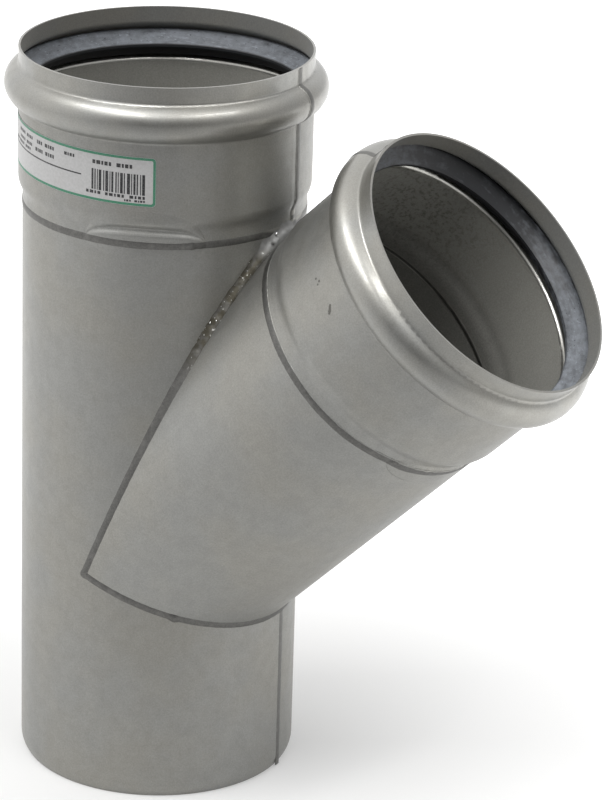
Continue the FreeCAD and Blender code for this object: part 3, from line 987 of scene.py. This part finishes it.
def make_saddle_weld(material):
    """Weld along the saddle: a rough fillet in the crotch, and a flat smooth band round the corner."""
    stations = saddle_stations()
    up_reach, down_reach, turn, side = stations
    line, _ = on_saddle(stations, "run", 0.0, TUBE_R)
    coarse = ease(up_reach, ROUGH_FROM, ROUGH_TO)
    corner = CORNER_EXTRA * np.sin(2 * turn) ** 2
    blob = np.exp(-(((down_reach - BLOB_AT) / BLOB_HALF) ** 2)) * (side < 0.0) * (down_reach > CORNER_R)
    ragged = 0.09 * MM + 0.32 * MM * coarse
    width = SADDLE_HALF + CROTCH_EXTRA * ease(up_reach, 0.03, 0.15)
    width = width + TOP_EXTRA * ease(up_reach, 0.148, 0.160)
    run_width = width + ragged * rough(line, 3.0 * MM, 1.0) + corner + BLOB_WIDER * blob
    branch_width = width + ragged * rough(line, 3.4 * MM, 17.0)
    run_edge, run_normal = on_saddle(stations, "run", -run_width, TUBE_R - SADDLE_SUNK)
    branch_edge, branch_normal = on_saddle(stations, "branch", branch_width, TUBE_R - SADDLE_SUNK)
    out = run_normal + branch_normal
    out = out / np.linalg.norm(out, axis=-1, keepdims=True)

    share = np.linspace(0.0, 1.0, 15)
    pull = (run_edge + branch_edge) / 2 * 0.4 + line * 0.6
    face = bowed(run_edge, pull, branch_edge, share)
    swell = 4 * share * (1 - share)
    proud = SADDLE_PROUD + 0.09 * MM * rough(line, 5 * MM, 2.0) + BLOB_RISE * blob - ROUGH_LOWER * coarse
    grain = (0.02 * MM + 0.24 * MM * coarse)[:, None] * rough(face, 3.2 * MM, 3.0)
    grain = grain + (0.005 * MM + 0.09 * MM * coarse)[:, None] * rough(face, 1.1 * MM, 8.0)
    for pit_side, pit_share, pit_r, pit_depth in PITS:
        near = np.argmin(np.abs(line[:, 1] - pit_side * MM) + (up_reach < ROUGH_TO))
        away = np.linalg.norm(face - face[near, round(pit_share * (len(share) - 1))], axis=-1)
        grain = grain - pit_depth * MM * ease(away, pit_r * MM, 0.3 * pit_r * MM)
    rise = proud[:, None] * swell + grain * np.sqrt(swell)
    face = face + out[:, None] * rise[..., None]

    root_half = SADDLE_GAP + 0.25 * MM
    depth = TUBE_R - WALL + SADDLE_SUNK
    run_root, _ = on_saddle(stations, "run", -root_half - corner, depth)
    branch_root, _ = on_saddle(stations, "branch", root_half + 0 * turn, depth)
    root_line, _ = on_saddle(stations, "run", 0.0, depth)
    share = np.linspace(0.0, 1.0, 7)
    back = bowed(branch_root, (run_root + branch_root) / 4 + root_line / 2, run_root, share)
    back = back - out[:, None] * (ROOT_CROWN * 4 * share * (1 - share))[None, :, None]
    weld = hoop(np.concatenate([face, back], axis=1) + np.array(CROSSING))
    make_piece("saddle_weld_bead", [weld], material, ["saddle_weld"], crease=50.0)


# Drops of spatter beside the saddle weld: row-frame place, and radius in mm
SPATTER = [
    ((0.0622, -0.0088, 0.2605), 0.85),
    ((0.0614, -0.0187, 0.2523), 0.42),
    ((0.0601, -0.0215, 0.2500), 0.40),
    ((0.0512, -0.0386, 0.2274), 0.45),
    ((0.0487, -0.0396, 0.2262), 0.50),
]


def make_spatter(material):
    """Small balls half sunk in the weld."""
    parts = []
    for place, radius in SPATTER:
        work = bmesh.new()
        bmesh.ops.create_icosphere(work, subdivisions=3, radius=radius * MM)
        spots = np.array([vertex.co for vertex in work.verts]) + np.array(place)
        parts.append((spots, [[vertex.index for vertex in face.verts] for face in work.faces]))
        work.free()
    make_piece("weld_spatter", parts, material, crease=180.0)


# Lengthwise seams of the rolled sheet
SEAM_HALF = 1.75 * MM
SEAM_CROWN = 0.22 * MM
SEAM_STEP = 0.3 * MM
SEAM_BEND = 0.2 * MM
BRIGHT_HALF = 0.32 * MM
BRIGHT_CROWN = 0.16 * MM
RUN_SEAM_AT = 4.5
BRANCH_SEAM_AT = 20.0
BRANCH_SOCKET_SEAM_AT = -171.0


def make_seam(name, leg, angle, start, end, material, half=SEAM_HALF, crown=SEAM_CROWN):
    """Flat weld line along a leg, which follows the sheet's own profile."""
    surface = skin(leg)
    along = np.arange(start, end, SEAM_STEP / 3)
    radius = surface(angle, along)
    walked = np.concatenate([[0.0], np.cumsum(np.hypot(np.diff(radius), np.diff(along)))])
    steps = np.linspace(0.0, walked[-1], int(walked[-1] / SEAM_STEP))
    along, radius = np.interp(steps, walked, along), np.interp(steps, walked, radius)
    slope = np.stack([np.gradient(radius), np.gradient(along)], axis=-1)
    slope /= np.linalg.norm(slope, axis=-1, keepdims=True)
    across = np.array([-1.0, -0.85, -0.55, 0.0, 0.55, 0.85, 1.0, 0.9, -0.9])
    height = crown * np.array([-0.2, 0.3, 0.8, 1.0, 0.8, 0.3, -0.2, -1.5, -1.5])
    middle = on_leg(leg, angle, radius, along)
    width = half * (1.0 + 0.12 * rough(middle, 7 * MM, 4.0) + 0.06 * rough(middle, 1.5 * MM, 6.0))
    bend = SEAM_BEND * rough(middle, 25 * MM, 12.0)
    rise = height * np.where(height > 0, 1.0 + 0.25 * rough(middle, 2.5 * MM, 15.0)[:, None], 1.0)
    section_radius = radius[:, None] + slope[:, 1:] * rise
    section_along = along[:, None] - slope[:, :1] * rise
    turn = np.degrees((width[:, None] * across + bend[:, None]) / radius[:, None])
    sections = on_leg(leg, angle + turn, section_radius, section_along)
    make_piece(name, [strip(sections)], material, crease=60.0)


def make_seams(material, steel):
    """One seam in each tube and each socket, and the bright edge beside the run socket's."""
    crotch = TUBE_R / math.tan(HALF_ANGLE)
    underside = TUBE_R * math.tan(HALF_ANGLE)
    low, high = RING_WELD_AT - JOINT_HALF, RING_WELD_AT + JOINT_HALF
    lip = MOUTH_REACH - 0.15 * MM
    make_seam("run_tube_seam", "run", RUN_SEAM_AT, 0.6 * MM - CROSSING.z, -underside - 1.2 * MM, material)
    make_seam("run_neck_seam", "run", RUN_SEAM_AT, crotch + 3.0 * MM, low, material)
    make_seam("run_socket_seam", "run", RUN_SEAM_AT, high, lip, material)
    edge_at = RUN_SEAM_AT - math.degrees((SEAM_HALF + 0.35 * MM) / SOCKET_R)
    make_seam("run_seam_edge", "run", edge_at, RING_WELD_AT + 1.5 * MM, MOUTH_REACH - 0.4 * MM, steel,
              half=BRIGHT_HALF, crown=BRIGHT_CROWN)
    make_seam("branch_tube_seam", "branch", BRANCH_SEAM_AT, underside + 2.0 * MM, high, material)
    make_seam("branch_socket_seam", "branch", BRANCH_SOCKET_SEAM_AT, low, lip, material)


# Printed label. Places on it run from its right edge to the left, and from its foot up
LABEL_EDGE = -61.3
LABEL_FOOT_DOWN = 0.9 * MM
LABEL_HEIGHT = 21.6 * MM
LABEL_TILT = 0.0177
LABEL_FILM = 0.12 * MM
LABEL_CORNER = 1.6 * MM
PRINT_RISE = 0.035 * MM
PRINT_STEP = 0.9 * MM
BORDER = 1.2 * MM
BORDER_MARGIN = 0.12 * MM
BORDER_CORNER = 0.8 * MM
CORNER_POINTS, SIDE_POINTS = 7, 60

# Generic print, in mm: bars, a rule, and rows of dashes given by start, end, foot, top, dash and gap
BARS = (4.6, 28.4, 4.9, 14.0, (1.2, 0.4, 0.6, 0.9, 0.4, 1.3, 0.5), (0.5, 0.9, 0.45, 0.6))
RULE_FROM, RULE_END_GAP, RULE_FOOT, RULE_TOP = 33.8, 6.0, 10.0, 10.6
DASH_SHARES = (0.75, 1.0, 0.6, 1.25, 0.9)
WORD, WORD_GAP = 6, 4
DASH_ROWS = [
    (10.2, 28.6, 16.3, 18.0, 1.5, 0.5),
    (4.6, 31.0, 3.1, 4.4, 1.35, 0.6),
    (4.6, 13.0, 1.7, 2.6, 0.95, 0.35),
    (37.5, 44.5, 16.9, 18.3, 1.2, 0.45),
    (49.5, 62.0, 16.8, 18.4, 1.35, 0.45),
    (49.5, 62.5, 13.2, 14.8, 1.25, 0.45),
    (66.0, 82.0, 17.0, 18.4, 1.3, 0.45),
    (66.5, 82.0, 14.0, 15.3, 1.2, 0.45),
    (68.0, 88.0, 11.7, 12.9, 1.2, 0.45),
]


def label_sizes():
    """Outer radius and length of the label, and where its foot lies along the run."""
    into_run = LEGS["run"].inverted()
    spots = np.array([into_run @ vertex.co for vertex in frame["nodes"]["label"].data.vertices])
    angle = np.degrees(np.arctan2(spots[:, 1], spots[:, 0]))
    radius = np.hypot(spots[:, 0], spots[:, 1]).max()
    return radius, radius * math.radians(angle.max() - angle.min()), spots[:, 2].min() - LABEL_FOOT_DOWN


LABEL_R, LABEL_LENGTH, LABEL_FOOT = label_sizes()


def on_label(left, up, lift):
    """Row-frame points on the label, lifted off its face."""
    angle = LABEL_EDGE - np.degrees(left / LABEL_R)
    return on_leg("run", angle, LABEL_R + lift, LABEL_FOOT + up + LABEL_TILT * left)


def make_label_film(material):
    """The film itself, stuck on a little askew, with round corners."""
    end = LABEL_CORNER * (1.0 - np.cos(np.linspace(0.0, math.pi / 2, 7)))
    middle = np.linspace(LABEL_CORNER, LABEL_LENGTH - LABEL_CORNER, 140)[1:-1]
    left = np.concatenate([end, middle, LABEL_LENGTH - end[::-1]])
    within = np.maximum(LABEL_CORNER - np.minimum(left, LABEL_LENGTH - left), 0.0)
    inset = (LABEL_CORNER - np.sqrt(np.maximum(LABEL_CORNER**2 - within**2, 0.0)))[:, None]
    up = inset + (LABEL_HEIGHT - 2 * inset) * np.linspace(0.0, 1.0, 5)
    left = left[:, None] + 0 * up
    film = slab(on_label(left, up, 0.0), on_label(left, up, -LABEL_FILM))
    make_piece("label_film", [film], material, ["label"], crease=30.0)


def round_line(margin, corner):
    """Line round the label, margin inside its edge, with as many points whatever its corners are."""
    right, top = LABEL_LENGTH - margin - corner, LABEL_HEIGHT - margin - corner
    left = foot = margin + corner
    arcs = []
    for index, middle in enumerate([(right, top), (left, top), (left, foot), (right, foot)]):
        turn = math.pi / 2 * (index + np.linspace(0.0, 1.0, CORNER_POINTS))
        arcs.append(np.array(middle) + corner * np.stack([np.cos(turn), np.sin(turn)], axis=-1))
    share = np.linspace(0.0, 1.0, SIDE_POINTS + 1)[1:-1, None]
    points = []
    for arc, following in zip(arcs, arcs[1:] + arcs[:1]):
        points += [arc, arc[-1] + (following[0] - arc[-1]) * share]
    return np.concatenate(points)


def make_label_border(ink):
    """Printed line round the label."""
    outer, inner = round_line(BORDER_MARGIN, LABEL_CORNER), round_line(BORDER, BORDER_CORNER)
    lifts = (-PRINT_RISE, PRINT_RISE, PRINT_RISE, -PRINT_RISE)
    lines = [on_label(*line.T, lift) for line, lift in zip((outer, outer, inner, inner), lifts)]
    make_piece("label_border", [hoop(np.stack(lines, axis=1))], ink, crease=30.0)


def printed(start, end, foot, top):
    """Thin curved patch of ink between two places on the label, all in metres."""
    count = max(2, int(abs(start - end) / PRINT_STEP) + 2)
    left, up = np.meshgrid(np.linspace(start, end, count), np.array([foot, top]), indexing="ij")
    return slab(on_label(left, up, PRINT_RISE), on_label(left, up, -PRINT_RISE))


def printed_row(start, end, foot, top, dashes, gaps, word_gap=None):
    """Patches of ink in a row, the dashes and gaps taken in turn; one of each word is left out."""
    inks = []
    place, index = start, 0
    while place < end:
        dash = dashes[index % len(dashes)]
        if index % WORD != word_gap:
            inks.append(printed(place * MM, (place + dash) * MM, foot * MM, top * MM))
        place += dash + gaps[index % len(gaps)]
        index += 1
    return inks


def make_label_print(ink):
    """Bars, rows of dashes and one rule in place of the label's text."""
    inks = printed_row(*BARS)
    for start, end, foot, top, dash, gap in DASH_ROWS:
        dashes = [dash * share for share in DASH_SHARES]
        inks += printed_row(start, end, foot, top, dashes, [gap], WORD_GAP)
    rule_end = LABEL_LENGTH - RULE_END_GAP * MM
    inks.append(printed(RULE_FROM * MM, rule_end, RULE_FOOT * MM, RULE_TOP * MM))
    make_piece("label_print", inks, ink, crease=30.0)


def dress():
    """Materials of the CAD nodes that stay, and all pieces of the scene's own."""
    steel = {leg: steel_material(leg + "_steel", leg) for leg in LEGS}
    weld = weld_material("weld_metal", 0.0)
    for leg in LEGS:
        give(leg + "_tube", steel[leg])
        give(leg + "_socket", steel[leg])
    make_saddle_weld(saddle_material())
    make_spatter(spatter_material())
    for leg in LEGS:
        make_ring_weld(leg, weld)
    make_joint_sheet("branch", steel["branch"])
    make_weld_edge("branch", steel["branch"])
    for leg in LEGS:
        make_swell(leg, steel[leg])
    make_seams(weld_material("seam_metal", SEAM_PALER), steel["run"])
    make_label_border(ink_material("green_ink", GREEN_INK))
    make_label_print(ink_material("black_ink", BLACK_INK))
    for leg in LEGS:
        give(leg + "_seal", rubber_material(leg))
    make_label_film(label_material())


make_camera()
make_studio()
dress()
